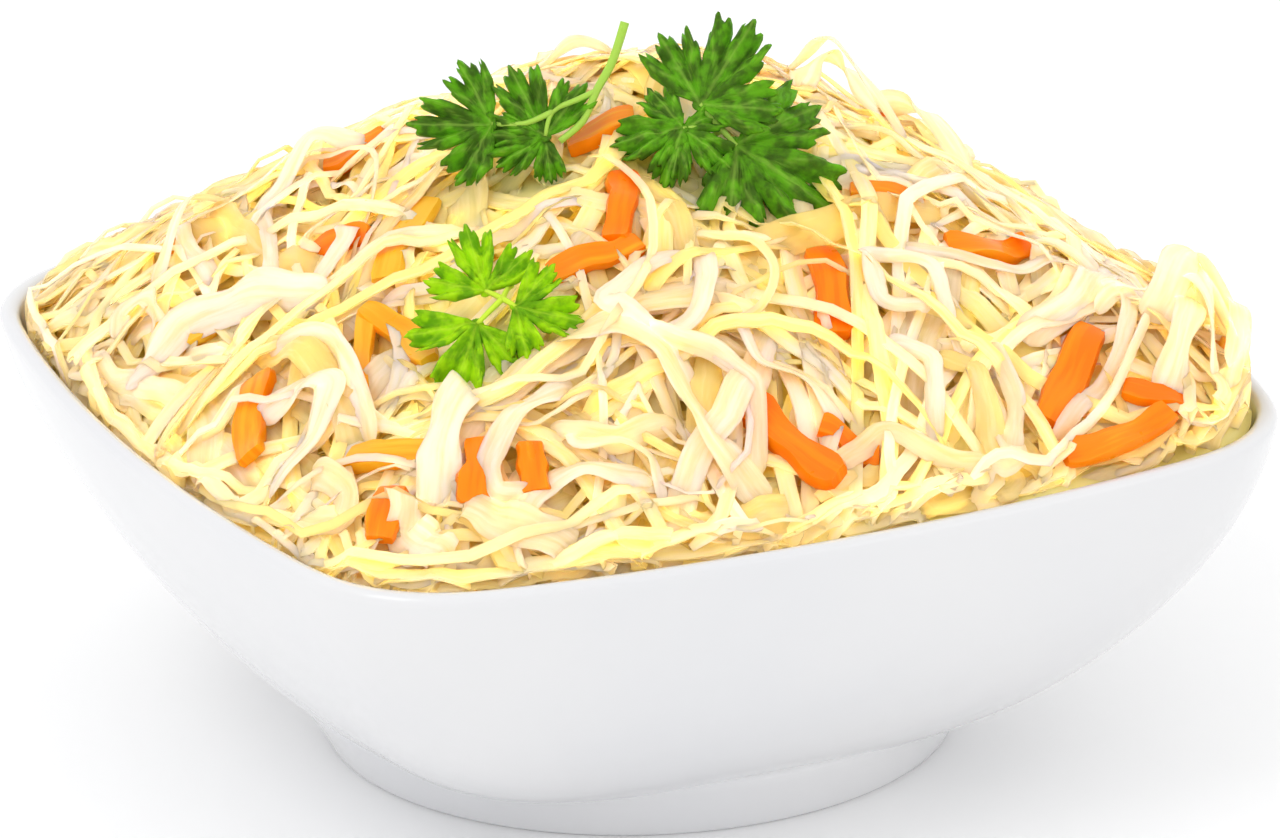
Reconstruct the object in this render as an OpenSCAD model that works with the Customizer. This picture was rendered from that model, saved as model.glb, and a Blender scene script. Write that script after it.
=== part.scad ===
// A square porcelain bowl on a round foot ring, heaped with sauerkraut and topped with
// three sprigs of parsley. The origin is on the table, under the middle of the bowl.
// The bowl's sides run along X and Y.

/* [Bowl] */
// Width of the bowl across its rim, from side to side
bowl_width = 172; // [140:1:200]
// Height from the table to the top of the rim
bowl_height = 60; // [50:1:75]
// Thickness of the wall, which the rim rounds over
wall = 3; // [2.5:0.1:4]
// Bow of the sides seen from above, from 0 for straight to 1 for a circle
side_bow = 0.26; // [0.1:0.01:0.5]
// Radius of the rim's corners as a share of the bowl's half width
corner_share = 0.29; // [0.2:0.01:0.5]

/* [Foot] */
// Radius of the foot ring where it stands on the table
foot_radius = 49; // [44:0.5:52]
// How far the foot ring widens from the table up to the bowl
foot_flare = 7; // [4:0.5:9]
// Width of the flat ring that the bowl stands on
foot_land = 2.4; // [1.5:0.1:4]
// Height of the shallow recess inside the foot ring
recess = 3; // [1:0.1:3.5]

/* [Heap] */
// Height of the heap's top above the rim
heap_height = 44.5; // [25:0.5:55]
// Depth of the bumps and hollows in the heap
heap_bumps = 1.5; // [0:0.1:2.5]

/* [Parsley] */
// Thickness of a parsley leaf
leaf_thickness = 0.8; // [0.6:0.1:1.2]
// Diameter of a parsley stem
stem_width = 1.7; // [1.2:0.1:2.4]

/* [Hidden] */

// Bowl and heap rings: the points of a ring, and the rings down a wall and over the heap
ring_points = 48;
wall_rings = 10;
heap_rings = 10;
rim_steps = 6;
half = bowl_width / 2;
rim_radius = wall / 2;
rim_middle = bowl_height - rim_radius;

// The wall's curve from inside the foot out to the rim, as [half width, height]
wall_curve = [
    [0.55 * half, 0.11 * bowl_height], [0.72 * half, 0.22 * bowl_height],
    [0.97 * half, 0.6 * bowl_height], [half, rim_middle]];
// How fast the wall turns from round at the foot to square
squaring = 0.1;
floor_height = recess + 4.5;

// The foot ring's curve, and how far it runs up inside the wall
foot_height = 0.19 * bowl_height;
foot_steps = 5;

// The heap's shoulders, and how fast it turns from round at its peak to square at the rim
dome_inner = 1.5;
dome_outer = 1.12;
heap_rounding = 0.35;
heap_peak = [5, 1];
heap_inset = 1.2;

// Parsley leaflets: lobes of 60 degrees, each with three teeth
leaf_spread = 90;
leaf_steps = 30;
leaf_back_steps = 3;
leaf_rings = [0.5, 1];
tooth_depth = 0.11;
petiole_share = 0.75;
stem_sides = 4;

// Each leaflet is [foot, heading, rise, roll, length, cup]; each stem is a path of points
left_leaflets = [
    [[-24.6, -5.2, 103.9], 136, -9, -60, 12.3, 0.45],
    [[-17.5, -9.1, 102], 106, 48, -32, 12.5, 0.2],
    [[-17.5, -9.1, 102], 176, -26, -50, 8.8, 0.15]];
left_stems = [
    [[-3.5, -8.6, 117.9], [-6.2, -9.7, 112.5], [-9.2, -10.1, 108.2], [-11.9, -10.8, 104], [-15.6, -10.3, 101.2]],
    [[-9.2, -10.1, 108.2], [-12.2, -9.3, 107], [-15.8, -8.3, 105.4], [-17.5, -9.1, 102]],
    [[-15.8, -8.3, 105.4], [-20, -7.3, 103.9], [-24.6, -5.2, 103.9]]];
right_leaflets = [
    [[4.2, -18.7, 106.6], 12, 44, 31, 15.5, 0.2],
    [[0.7, -19.9, 103.6], 161, -5, -45, 11.4, -0.1],
    [[0.7, -19.9, 103.6], -54, -27, 38, 9.5, -0.1],
    [[8.2, -23, 100.6], -43, -27, 40, 19, -0.1]];
right_stems = [
    [[6.6, -21.3, 102.8], [5.4, -19.4, 104.6], [4.2, -18.7, 106.6]],
    [[6.6, -21.3, 102.8], [3.6, -20.4, 103.4], [0.7, -19.9, 103.6]],
    [[6.6, -21.3, 102.8], [7.4, -22.4, 101.6], [8.2, -23, 100.6]],
    [[6.6, -21.3, 102.8], [6, -17.6, 100.4], [5.4, -13.6, 98.6]]];
front_leaflets = [
    [[-38.7, -33.9, 88.8], 87, 43, -15, 11.3, 0.15],
    [[-36.7, -40.4, 88.1], -35, -11, 44, 10.8, 0.1],
    [[-42.5, -39.2, 86], -141, -42, -19, 13.2, -0.1]];
front_stems = [
    [[-37.6, -37.6, 88.6], [-38.2, -35.8, 88.8], [-38.7, -33.9, 88.8]],
    [[-37.6, -37.6, 88.6], [-37.2, -39, 88.5], [-36.7, -40.4, 88.1]],
    [[-37.6, -37.6, 88.6], [-40.2, -38.6, 87.4], [-42.5, -39.2, 86]],
    [[-37.6, -37.6, 88.6], [-35.8, -35.3, 89], [-34, -33.2, 88.6]]];

// A point on a cubic curve through four control points
function on_curve(c, t) =
    c[0] * pow(1 - t, 3) + c[1] * 3 * t * pow(1 - t, 2) + c[2] * 3 * t * t * (1 - t) + c[3] * pow(t, 3);

// The curve's direction, and its unit normal towards the inside of the bowl
function along_curve(c, t) =
    (c[1] - c[0]) * pow(1 - t, 2) + (c[2] - c[1]) * 2 * t * (1 - t) + (c[3] - c[2]) * t * t;
function inward(v) = [-v[1], v[0]] / norm(v);

// A square with bowed sides and round corners, of half side 1: its reach at an angle.
// The side is an arc about [-side_centre, 0] and the corner an arc about [q, q].
function corner_place(side_centre, gap) =
    (-side_centre + sqrt(2 * gap * gap - side_centre * side_centre)) / 2;
function folded(angle) = 45 - abs((angle % 90) - 45);
function square_reach(angle, bow, corner) =
    let (side_radius = 1 / bow, side_centre = side_radius - 1,
         q = corner_place(side_centre, side_radius - min(corner, side_radius - 0.001)),
         join = atan2(side_radius * q / norm([q, q + side_centre]),
                      side_radius * (q + side_centre) / norm([q, q + side_centre]) - side_centre),
         a = folded(angle), side_along = side_centre * cos(a), corner_along = q * (cos(a) + sin(a)))
    a < join
        ? -side_along + sqrt(side_along * side_along + 2 * side_radius - 1)
        : corner_along + sqrt(max(0, corner_along * corner_along - 2 * q * q + corner * corner));

// The points' angles, closer together at the corners
function ring_angle(i) = let (a = 360 * i / ring_points) a + 5 * sin(4 * a);

// A ring of the bowl: how square it is runs from 0 at the foot to 1 at the rim
function ring(half_width, z, squareness) = [
    for (i = [0 : ring_points - 1])
        let (a = ring_angle(i),
             r = half_width * square_reach(a, 1 + (side_bow - 1) * squareness,
                                           1 + (corner_share - 1) * squareness))
        [r * cos(a), r * sin(a), z]];
function wall_squareness(t) = t <= 0 ? 0 : pow(t, squaring);
function wall_step(i) = pow(i / wall_rings, 1.6);
function outer_ring(t) =
    let (p = on_curve(wall_curve, t)) ring(p[0], p[1], wall_squareness(t));
function inner_ring(t) =
    let (p = on_curve(wall_curve, t) + wall * inward(along_curve(wall_curve, t)))
    ring(p[0], max(p[1], floor_height + 0.5), wall_squareness(t));
inner_rings = [for (i = [wall_rings - 1 : -1 : 0]) inner_ring(wall_step(i))];

// A closed solid from rings of points and a middle point at each end, going up the outside
module ring_solid(bottom, rings, top) {
    n = len(rings[0]);
    last = len(rings) * n + 1;
    points = concat([bottom], [for (r = rings) each r], [top]);
    faces = concat(
        [for (i = [0 : n - 1]) [0, 1 + (i + 1) % n, 1 + i]],
        [for (k = [0 : len(rings) - 2], i = [0 : n - 1])
            let (a = 1 + k * n + i, b = 1 + k * n + (i + 1) % n)
            each [[a, b, b + n], [a, b + n, a + n]]],
        [for (i = [0 : n - 1]) [last, last - n + i, last - n + (i + 1) % n]]);
    polyhedron(points = points, faces = [for (f = faces) [f[2], f[1], f[0]]]);
}

// The wall and floor of the bowl, without the foot
module bowl_wall() {
    under_ring = ring(foot_radius - foot_land / 2, recess, 0);
    outer_rings = [for (i = [0 : wall_rings - 1]) outer_ring(wall_step(i))];
    rim_rings = [for (i = [0 : rim_steps])
        let (a = 180 * i / rim_steps)
        ring(half - rim_radius + rim_radius * cos(a), rim_middle + rim_radius * sin(a), 1)];
    ring_solid([0, 0, recess], concat([under_ring], outer_rings, rim_rings, inner_rings),
               [0, 0, floor_height]);
}

// The foot: a flared ring with a flat land, running up into the wall
module foot_ring() {
    outside = [for (i = [0 : foot_steps])
        let (t = i / foot_steps) [foot_radius + foot_flare * pow(t, 1.2), foot_height * t]];
    rotate_extrude($fn = 96)
        polygon(concat([[foot_radius - foot_land, 0]], outside,
                       [[foot_radius - 1.5 * foot_land, foot_height - 2],
                        [foot_radius - 1.5 * foot_land, recess]]));
}

module bowl() {
    color("white") union() {
        bowl_wall();
        foot_ring();
    }
}

// The heap's surface over a share s of the way from its peak out to the wall
function bumps(x, y) =
    heap_bumps * (sin(14 * x + 5 * y + 30) + sin(-8 * x + 13 * y + 100) + 0.6 * sin(21 * x - 9 * y));
function heap_ring(s) =
    let (rise = heap_height * pow(1 - pow(s, dome_inner), dome_outer),
         outline = ring(half - wall - heap_inset, 0, pow(s, heap_rounding)))
    [for (p = outline)
        let (x = heap_peak[0] * (1 - s) + p[0] * s, y = heap_peak[1] * (1 - s) + p[1] * s)
        [x, y, bowl_height + rise + bumps(x, y) * (1 - pow(s, 3)) + 1]];

// The sauerkraut: it fills the bowl up to the wall and stands above the rim as a dome
module kraut_heap() {
    under_rings = [for (i = [0 : wall_rings - 1]) inner_rings[wall_rings - 1 - i]];
    top_rings = [for (i = [heap_rings : -1 : 1]) heap_ring(i / heap_rings)];
    color("moccasin")
        ring_solid([0, 0, floor_height],
                   concat(under_rings, [ring(half - wall, rim_middle, 1)], top_rings),
                   [heap_peak[0], heap_peak[1], bowl_height + heap_height + 1 + bumps(heap_peak[0], heap_peak[1])]);
}

// A leaflet's reach at an angle from its axis, as a share of its length
function leaf_reach(a) =
    abs(a) > leaf_spread ? 0.12
    : (0.3 + 0.7 * pow(cos(0.8 * a), 1.2)) * (0.72 + 0.28 * pow(cos(3 * a), 2))
      * (1 - tooth_depth + tooth_depth * cos(18 * a));
leaf_angles = concat(
    [for (i = [0 : leaf_steps]) -leaf_spread + 2 * leaf_spread * i / leaf_steps],
    [for (i = [1 : leaf_back_steps]) leaf_spread + (360 - 2 * leaf_spread) * i / (leaf_back_steps + 1)]);

// A leaflet lies along +X with its foot at the origin; cup curls its lobes up or down
function leaf_ring(length, share, cup, z) = [
    for (a = leaf_angles)
        let (r = length * leaf_reach(a) * share, x = r * cos(a), y = r * sin(a))
        [x, y, z + cup * r * r / length + 0.07 * r * cos(6 * a)]];
module leaflet(length, cup) {
    top = leaf_thickness / 2;
    ring_solid([0, 0, -top],
               concat([for (s = leaf_rings) leaf_ring(length, s, cup, -top)],
                      [for (i = [len(leaf_rings) - 1 : -1 : 0]) leaf_ring(length, leaf_rings[i], cup, top)]),
               [0, 0, top]);
}

// A stem along a path, thinner towards its end
module stem(path, start_width, end_width) {
    steps = len(path) - 1;
    for (i = [0 : steps - 1])
        hull() {
            translate(path[i])
                sphere(d = start_width + (end_width - start_width) * i / steps, $fn = stem_sides);
            translate(path[i + 1])
                sphere(d = start_width + (end_width - start_width) * (i + 1) / steps, $fn = stem_sides);
        }
}

// A sprig: its leaflets and the stems between them
module sprig(leaflets, stems) {
    for (l = leaflets)
        translate(l[0]) rotate([l[3], -l[2], l[1]]) leaflet(l[4], l[5]);
    for (path = stems)
        stem(path, stem_width, stem_width * petiole_share);
}

module parsley_left() { color("forestgreen") sprig(left_leaflets, left_stems); }
module parsley_right() { color("limegreen") sprig(right_leaflets, right_stems); }
module parsley_front() { color("yellowgreen") sprig(front_leaflets, front_stems); }

bowl();
kraut_heap();
parsley_left();
parsley_right();
parsley_front();
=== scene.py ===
import math

import bmesh
import bpy
import numpy as np
from mathutils import Matrix, Vector, noise


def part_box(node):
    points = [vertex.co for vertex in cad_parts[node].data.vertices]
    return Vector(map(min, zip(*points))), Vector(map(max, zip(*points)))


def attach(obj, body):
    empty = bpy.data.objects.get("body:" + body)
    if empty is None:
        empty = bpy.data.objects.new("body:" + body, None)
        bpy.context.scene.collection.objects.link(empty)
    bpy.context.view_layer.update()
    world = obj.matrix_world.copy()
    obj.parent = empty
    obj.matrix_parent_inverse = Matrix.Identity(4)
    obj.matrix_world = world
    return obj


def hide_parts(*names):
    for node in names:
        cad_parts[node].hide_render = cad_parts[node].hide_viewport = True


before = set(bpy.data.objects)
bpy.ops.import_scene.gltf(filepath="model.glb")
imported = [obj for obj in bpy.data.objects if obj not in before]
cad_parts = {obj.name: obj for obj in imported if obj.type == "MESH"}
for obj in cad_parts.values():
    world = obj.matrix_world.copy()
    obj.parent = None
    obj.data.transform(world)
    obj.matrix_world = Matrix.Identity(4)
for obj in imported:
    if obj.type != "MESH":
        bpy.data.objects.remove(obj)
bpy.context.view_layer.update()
MM = 0.001


# ---------------------------------------------------------------- the bowl
# White porcelain: a square bowl with bowed sides and round corners, thrown up from a round
# foot ring. The wall is thin, its rim is rounded over, and one glaze under a clear coat
# covers it all, the foot's land too.
bowl_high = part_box("bowl")[1]
half_width = bowl_high.x
rim_top = bowl_high.z
wall = 3 * MM
rim_radius = wall / 2
side_bow = 0.26
corner_share = 0.29
foot_radius = 49 * MM
foot_flare = 7 * MM
foot_land = 2.4 * MM
foot_height = 0.19 * rim_top
recess = 3 * MM
bowl_floor = 4.5 * MM
floor_height = recess + bowl_floor
corner_twist = math.radians(4)
turns = 96


def square_reach(angle, bow, corner):
    """How far a square of half side 1, with bowed sides and round corners, reaches at an angle."""
    side_radius = 1 / bow
    side_centre = side_radius - 1
    corner = np.minimum(corner, side_radius - 1e-4)
    gap = side_radius - corner
    q = (-side_centre + np.sqrt(np.maximum(2 * gap**2 - side_centre**2, 0))) / 2
    lean = np.maximum(np.hypot(q, q + side_centre), 1e-9)
    join = np.arctan2(side_radius * q / lean, side_radius * (q + side_centre) / lean - side_centre)
    a = np.pi / 4 - np.abs(np.mod(angle, np.pi / 2) - np.pi / 4)
    along_side = side_centre * np.cos(a)
    along_corner = q * (np.cos(a) + np.sin(a))
    on_side = -along_side + np.sqrt(along_side**2 + 2 * side_radius - 1)
    on_corner = along_corner + np.sqrt(np.maximum(along_corner**2 - 2 * q**2 + corner**2, 0))
    return np.where(a < join, on_side, on_corner)


def rim_reach(angle, squareness=1.0):
    """The reach of the bowl's section, from round at 0 to the rim's square at 1."""
    bow = 1 + (side_bow - 1) * squareness
    corner = 1 + (corner_share - 1) * squareness
    return square_reach(angle, bow, corner)


def wall_point(t, inward=0.0):
    """Half width, height and squareness of the wall at t from foot to rim, or of its inner face."""
    c = np.array([[0.55 * half_width, 0.11 * rim_top], [0.72 * half_width, 0.22 * rim_top],
                  [0.97 * half_width, 0.6 * rim_top], [half_width, rim_top - rim_radius]])
    p = c[0] * (1 - t)**3 + c[1] * 3 * t * (1 - t)**2 + c[2] * 3 * t * t * (1 - t) + c[3] * t**3
    d = (c[1] - c[0]) * (1 - t)**2 + (c[2] - c[1]) * 2 * t * (1 - t) + (c[3] - c[2]) * t * t
    n = np.array([-d[1], d[0]]) / np.hypot(*d)
    return [*(p + inward * n), 0.0 if t <= 0 else t**0.1]


def body_profile():
    """[half width, height, squareness] from under the middle, up the wall and in to the floor."""
    inner_foot = foot_radius - 1.5 * foot_land
    rim_centre = half_width - rim_radius
    rows = [[share * inner_foot, recess, 0] for share in (0, 0.4, 0.8, 1)]
    rows += [wall_point(t) for t in (np.arange(0, 20) / 20)**1.5]
    rows += [[rim_centre + rim_radius * math.cos(a), rim_top - rim_radius + rim_radius * math.sin(a), 1]
             for a in np.radians(np.arange(0, 181, 22.5))]
    rows += [wall_point(t, wall) for t in (np.arange(14, 0, -1) / 15.5)**1.5]
    rows += [[share * half_width, floor_height, 0] for share in (0.4, 0.2, 0)]
    return rows


def foot_profile():
    """The foot ring, from inside the bowl's bottom down its inner face, over its land and up."""
    inner, outer = foot_radius - foot_land, foot_radius
    rows = [[0.8 * inner, recess + 1.5 * MM, 0], [inner - 1.2 * MM, recess + 1.5 * MM, 0],
            [inner - 1.1 * MM, recess, 0], [inner - 0.3 * MM, 0.5 * MM, 0],
            [inner + 0.1 * MM, 0.1 * MM, 0],
            [inner + 0.4 * MM, 0, 0], [outer - 0.4 * MM, 0, 0], [outer, 0.2 * MM, 0]]
    rows += [[outer + foot_flare * share**1.2, foot_height * share, 0]
             for share in (0.08, 0.25, 0.5, 0.75, 1)]
    foot_top = foot_height + 0.8 * MM
    rows += [[outer + 0.7 * foot_flare, foot_top, 0], [0.8 * inner, foot_top, 0]]
    return rows


def turned(name, profiles, place):
    """Shells spun from profiles, each point then moved by place, from its radius and height."""
    bm = bmesh.new()
    square = bm.verts.layers.float.new("square")
    for profile in profiles:
        chain = []
        for radius, height, share in profile:
            v = bm.verts.new((radius, 0, height))
            v[square] = share
            chain.append(v)
        edges = [bm.edges.new(pair) for pair in zip(chain, chain[1:])]
        if profile[0][0] > 0:
            edges.append(bm.edges.new((chain[-1], chain[0])))
        bmesh.ops.spin(bm, geom=chain + edges, axis=(0, 0, 1), cent=(0, 0, 0),
                       steps=turns, angle=2 * math.pi, use_merge=True)
    bmesh.ops.remove_doubles(bm, verts=bm.verts, dist=1e-7)
    for v in bm.verts:
        v.co = place(math.hypot(v.co.x, v.co.y), v.co.z, v[square], math.atan2(v.co.y, v.co.x))
    bmesh.ops.recalc_face_normals(bm, faces=bm.faces)
    for f in bm.faces:
        f.smooth = True
    return new_piece(name, bm)


def new_piece(name, bm):
    """The finished bmesh as an object at the origin."""
    mesh = bpy.data.meshes.new(name)
    bm.to_mesh(mesh)
    bm.free()
    piece = bpy.data.objects.new(name, mesh)
    bpy.context.scene.collection.objects.link(piece)
    return piece


def on_bowl(radius, height, share, angle):
    """A spun point moved out to the bowl's section, with more of them near the corners."""
    angle += corner_twist * math.sin(4 * angle)
    r = radius * float(rim_reach(angle, share))
    return r * math.cos(angle), r * math.sin(angle), height


bowl = turned("bowl_porcelain", [body_profile(), foot_profile()], on_bowl)
smoother = bowl.modifiers.new("smooth", "SUBSURF")
smoother.levels = smoother.render_levels = 1


def new_material(name):
    """A material with its node tree and its Principled shader."""
    material = bpy.data.materials.new(name)
    material.use_nodes = True
    return material, material.node_tree, material.node_tree.nodes["Principled BSDF"]


def mottle_group():
    """Soft uneven patches: a value between Low and High that drifts over the surface."""
    group = bpy.data.node_groups.new("mottle", "ShaderNodeTree")
    for socket in ("Scale", "Low", "High"):
        group.interface.new_socket(socket, in_out="INPUT", socket_type="NodeSocketFloat")
    group.interface.new_socket("Value", in_out="OUTPUT", socket_type="NodeSocketFloat")
    into, out = group.nodes.new("NodeGroupInput"), group.nodes.new("NodeGroupOutput")
    where = group.nodes.new("ShaderNodeTexCoord")
    patches = group.nodes.new("ShaderNodeTexNoise")
    patches.inputs["Detail"].default_value = 3
    spread = group.nodes.new("ShaderNodeMapRange")
    group.links.new(where.outputs["Object"], patches.inputs["Vector"])
    group.links.new(into.outputs["Scale"], patches.inputs["Scale"])
    group.links.new(patches.outputs["Fac"], spread.inputs["Value"])
    group.links.new(into.outputs["Low"], spread.inputs["To Min"])
    group.links.new(into.outputs["High"], spread.inputs["To Max"])
    group.links.new(spread.outputs["Result"], out.inputs["Value"])
    return group


mottle = mottle_group()


def add_mottle(tree, scale, low, high):
    """Places the mottle group in a material and gives its value."""
    node = tree.nodes.new("ShaderNodeGroup")
    node.node_tree = mottle
    node.inputs["Scale"].default_value = scale
    node.inputs["Low"].default_value = low
    node.inputs["High"].default_value = high
    return node.outputs["Value"]


def ramp(tree, factor, stops):
    """A colour ramp fed by factor, with its stops as place and colour."""
    node = tree.nodes.new("ShaderNodeValToRGB")
    node.color_ramp.interpolation = "EASE"
    while len(node.color_ramp.elements) < len(stops):
        node.color_ramp.elements.new(0.5)
    for element, (place, colour) in zip(node.color_ramp.elements, stops):
        element.position = place
        element.color = (*colour, 1)
    tree.links.new(factor, node.inputs["Fac"])
    return node.outputs["Color"]


def add_bump(tree, shader, height, strength, distance):
    """Feeds a height to the shader's normal through a Bump node."""
    bump = tree.nodes.new("ShaderNodeBump")
    bump.inputs["Strength"].default_value = strength
    bump.inputs["Distance"].default_value = distance
    tree.links.new(height, bump.inputs["Height"])
    tree.links.new(bump.outputs["Normal"], shader.inputs["Normal"])


def glaze_material():
    """A white glaze, a little cooler in places and slightly wavy, under a clear coat."""
    material, tree, shader = new_material("white_glaze")
    tint = ramp(tree, add_mottle(tree, 14, 0.0, 1.0), [
        (0.3, (0.725, 0.73, 0.75)), (0.7, (0.76, 0.76, 0.77))])
    tree.links.new(tint, shader.inputs["Base Color"])
    tree.links.new(add_mottle(tree, 60, 0.16, 0.24), shader.inputs["Roughness"])
    add_bump(tree, shader, add_mottle(tree, 90, 0, 1), 0.05, 0.4 * MM)
    shader.inputs["IOR"].default_value = 1.5
    shader.inputs["Coat Weight"].default_value = 0.6
    shader.inputs["Coat Roughness"].default_value = 0.04
    return material


bowl.data.materials.append(glaze_material())
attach(bowl, "root")
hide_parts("bowl")


# ---------------------------------------------------------------- the heap's core
# What lies under the loose shreds: the imported middle of the sauerkraut, seen only between them,
# painted warm gold as the painted shade of the gaps. It fills the bowl and stands as a lumpy
# dome a little below the heap's outline.
heap_rise = 44.5 * MM
heap_peak = np.array([5, 1]) * MM
heap_reach = half_width - wall - 0.6 * MM
low_side = math.radians(165)
core_sink = 4 * MM


def heap_share(x, y):
    """How far out from the peak to the wall a point lies, from 0 to 1."""
    s = np.hypot(x, y) / heap_reach
    for _ in range(6):
        u, v = x - heap_peak[0] * (1 - s), y - heap_peak[1] * (1 - s)
        s = np.hypot(u, v) / (heap_reach * rim_reach(np.arctan2(v, u), np.clip(s, 0.001, 1)**0.35))
        s = np.clip(s, 0, 1.2)
    return s


def heap_surface(x, y):
    """The outline that the loose shreds fill, lower along the near and left walls."""
    s = heap_share(x, y)
    rise = heap_rise * np.power(1 - np.power(np.clip(s, 0, 1), 1.5), 1.12)
    left = 0.5 + 0.5 * np.cos(np.arctan2(y, x) - low_side)
    edge = np.clip((s - 0.8) / 0.2, 0, 1)**2
    return rim_top + 1.5 * MM + rise - edge * (5 * left**2 - 1) * MM


def core_height(x, y):
    """The core's top, a little below the outline and lumpy."""
    lumps = noise.noise(Vector((x * 70, y * 70, 0))) * 1.6
    lumps += noise.noise(Vector((x * 230, y * 230, 4))) * 0.9
    return float(heap_surface(x, y)) - core_sink + lumps * MM


def on_core(radius, height, share, angle):
    """A spun point of the core moved to the bowl's section, and to the lumpy top."""
    x, y, z = on_bowl(radius, height, share, angle)
    return x, y, core_height(x, y) if height > rim_top - 1 * MM else z


core_profile = [[heap_reach * s, rim_top, s**0.35] for s in np.linspace(0, 1, 42)]
for t in (0.82, 0.6, 0.4, 0.2):
    half, height, share = wall_point(t, wall)
    core_profile.append([half - 0.3 * MM, height, share])
core_bottom = floor_height + 0.5 * MM
core_profile += [[0.2 * half_width, core_bottom, 0], [0, core_bottom, 0]]
core = turned("kraut_core", [core_profile], on_core)


def add_mix(tree, factor, ground, colour):
    """The ground colour turned to another by factor."""
    mix = tree.nodes.new("ShaderNodeMix")
    mix.data_type = "RGBA"
    mix.inputs["B"].default_value = (*colour, 1)
    tree.links.new(factor, mix.inputs["Factor"])
    tree.links.new(ground, mix.inputs["A"])
    return mix.outputs["Result"]


def add_fibre(tree, scale):
    """A strip's tone as its parts (own tint, painted gap shade, painted wall shade), its fine lengthwise
    grain, and a value mixed from tint and grain.
    """
    tone = tree.nodes.new("ShaderNodeAttribute")
    tone.attribute_name = "tone"
    parts = tree.nodes.new("ShaderNodeSeparateXYZ")
    tree.links.new(tone.outputs["Vector"], parts.inputs["Vector"])
    fibre = tree.nodes.new("ShaderNodeAttribute")
    fibre.attribute_name = "fibre"
    grain = tree.nodes.new("ShaderNodeTexNoise")
    grain.inputs["Scale"].default_value = scale
    grain.inputs["Detail"].default_value = 4
    tree.links.new(fibre.outputs["Vector"], grain.inputs["Vector"])
    mixed = tree.nodes.new("ShaderNodeMath")
    mixed.operation = "MULTIPLY_ADD"
    mixed.inputs[1].default_value = 1.2
    tree.links.new(grain.outputs["Fac"], mixed.inputs[0])
    tree.links.new(parts.outputs["X"], mixed.inputs[2])
    return parts.outputs, grain.outputs["Fac"], mixed.outputs["Value"]


def cabbage_material(name, gap_shade, clear):
    """Moist cabbage, painted gold where it lies below the heap's outline as shade of the gaps; deep adds
    that painted shade all over, and clear is how see-through it is.
    """
    material, tree, shader = new_material(name)
    parts, grain, mixed = add_fibre(tree, 1.0)
    pale = ramp(tree, mixed, [
        (0.2, (0.96, 0.84, 0.65)), (0.5, (0.96, 0.82, 0.49)),
        (0.8, (0.96, 0.80, 0.35)), (1.0, (0.95, 0.775, 0.25))])
    # painted shade of the bowl's wall: shreds near it are turned a duller yellow, each by a random
    # amount
    wall_shade_tint = add_mix(tree, parts["Z"], pale, (0.94, 0.80, 0.42))
    # painted shade of the gaps: the lower a strip lies below the heap's outline, the more gold it is
    # painted
    depth = tree.nodes.new("ShaderNodeMath")
    depth.operation = "ADD"
    depth.use_clamp = True
    depth.inputs[1].default_value = gap_shade
    tree.links.new(parts["Y"], depth.inputs[0])
    gold_gap_shade = add_mix(tree, depth.outputs["Value"], wall_shade_tint, (1.0, 0.87, 0.24))
    tree.links.new(gold_gap_shade, shader.inputs["Base Color"])
    tree.links.new(add_mottle(tree, 260, 0.15, 0.32), shader.inputs["Roughness"])
    add_bump(tree, shader, grain, 0.6, 0.3 * MM)
    shader.subsurface_method = "BURLEY"
    shader.inputs["Subsurface Weight"].default_value = 1
    shader.inputs["Subsurface Radius"].default_value = (1.0, 1.0, 0.5)
    shader.inputs["Subsurface Scale"].default_value = 4.5 * MM
    if clear:
        veil = tree.nodes.new("ShaderNodeMapRange")
        veil.inputs["To Min"].default_value = 1
        veil.inputs["To Max"].default_value = 1 - clear
        tree.links.new(mixed, veil.inputs["Value"])
        tree.links.new(veil.outputs["Result"], shader.inputs["Alpha"])
    shader.inputs["IOR"].default_value = 1.4
    return material


# the core is painted nearly all gold, the painted shade that shows in the gaps between the shreds
core.data.materials.append(cabbage_material("packed_kraut", 0.85, 0))
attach(core, "root")
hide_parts("kraut_heap")


# ---------------------------------------------------------------- the cabbage shreds
# White cabbage cut into long shreds and fermented: limp, flat, translucent ribbons that
# curl and lie over one another. Each is laid on what lies below it, bridges the hollows and
# raises the heap, until the heap has its full outline.
rng = np.random.default_rng(20)
cell = 0.7 * MM
cells = 252
grid_half = cells * cell / 2
steps = (np.arange(cells) + 0.5) * cell - grid_half
grid_x, grid_y = np.meshgrid(steps, steps, indexing="ij")
smooth_dome = heap_surface(grid_x, grid_y)
slope_x, slope_y = np.gradient(smooth_dome, cell)


def swelling(x, y, radius):
    """1 at a spot given in millimetres, fading to 0 round it."""
    gap = (grid_x - x * MM)**2 + (grid_y - y * MM)**2
    return np.exp(-gap / (radius * MM)**2)


# the sprigs and the middle carrots lie in hollows, and the shreds stand up at the right corner
outline = smooth_dome
for x, y in ((-40, -37), (-20, -10), (4, -22), (11, -30)):
    outline = outline - 3 * MM * swelling(x, y, 11)
outline = outline + 4 * MM * swelling(68, -60, 15)
height_map = np.maximum(outline - core_sink, rim_top - 4 * MM)
samples = 100


def tube(along, around):
    """A capped tube of radius 1 with a ring of vertices at each whole height from 0 to along."""
    bm = bmesh.new()
    bmesh.ops.create_cone(bm, cap_ends=True, segments=around, radius1=1, radius2=1, depth=along)
    bmesh.ops.translate(bm, verts=bm.verts, vec=(0, 0, along / 2))
    rising = [e for e in bm.edges if abs(e.verts[0].co.z - e.verts[1].co.z) > 0.5]
    bmesh.ops.subdivide_edges(bm, edges=rising, cuts=along - 1, use_grid_fill=True)
    bmesh.ops.recalc_face_normals(bm, faces=bm.faces)
    return bm


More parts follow.
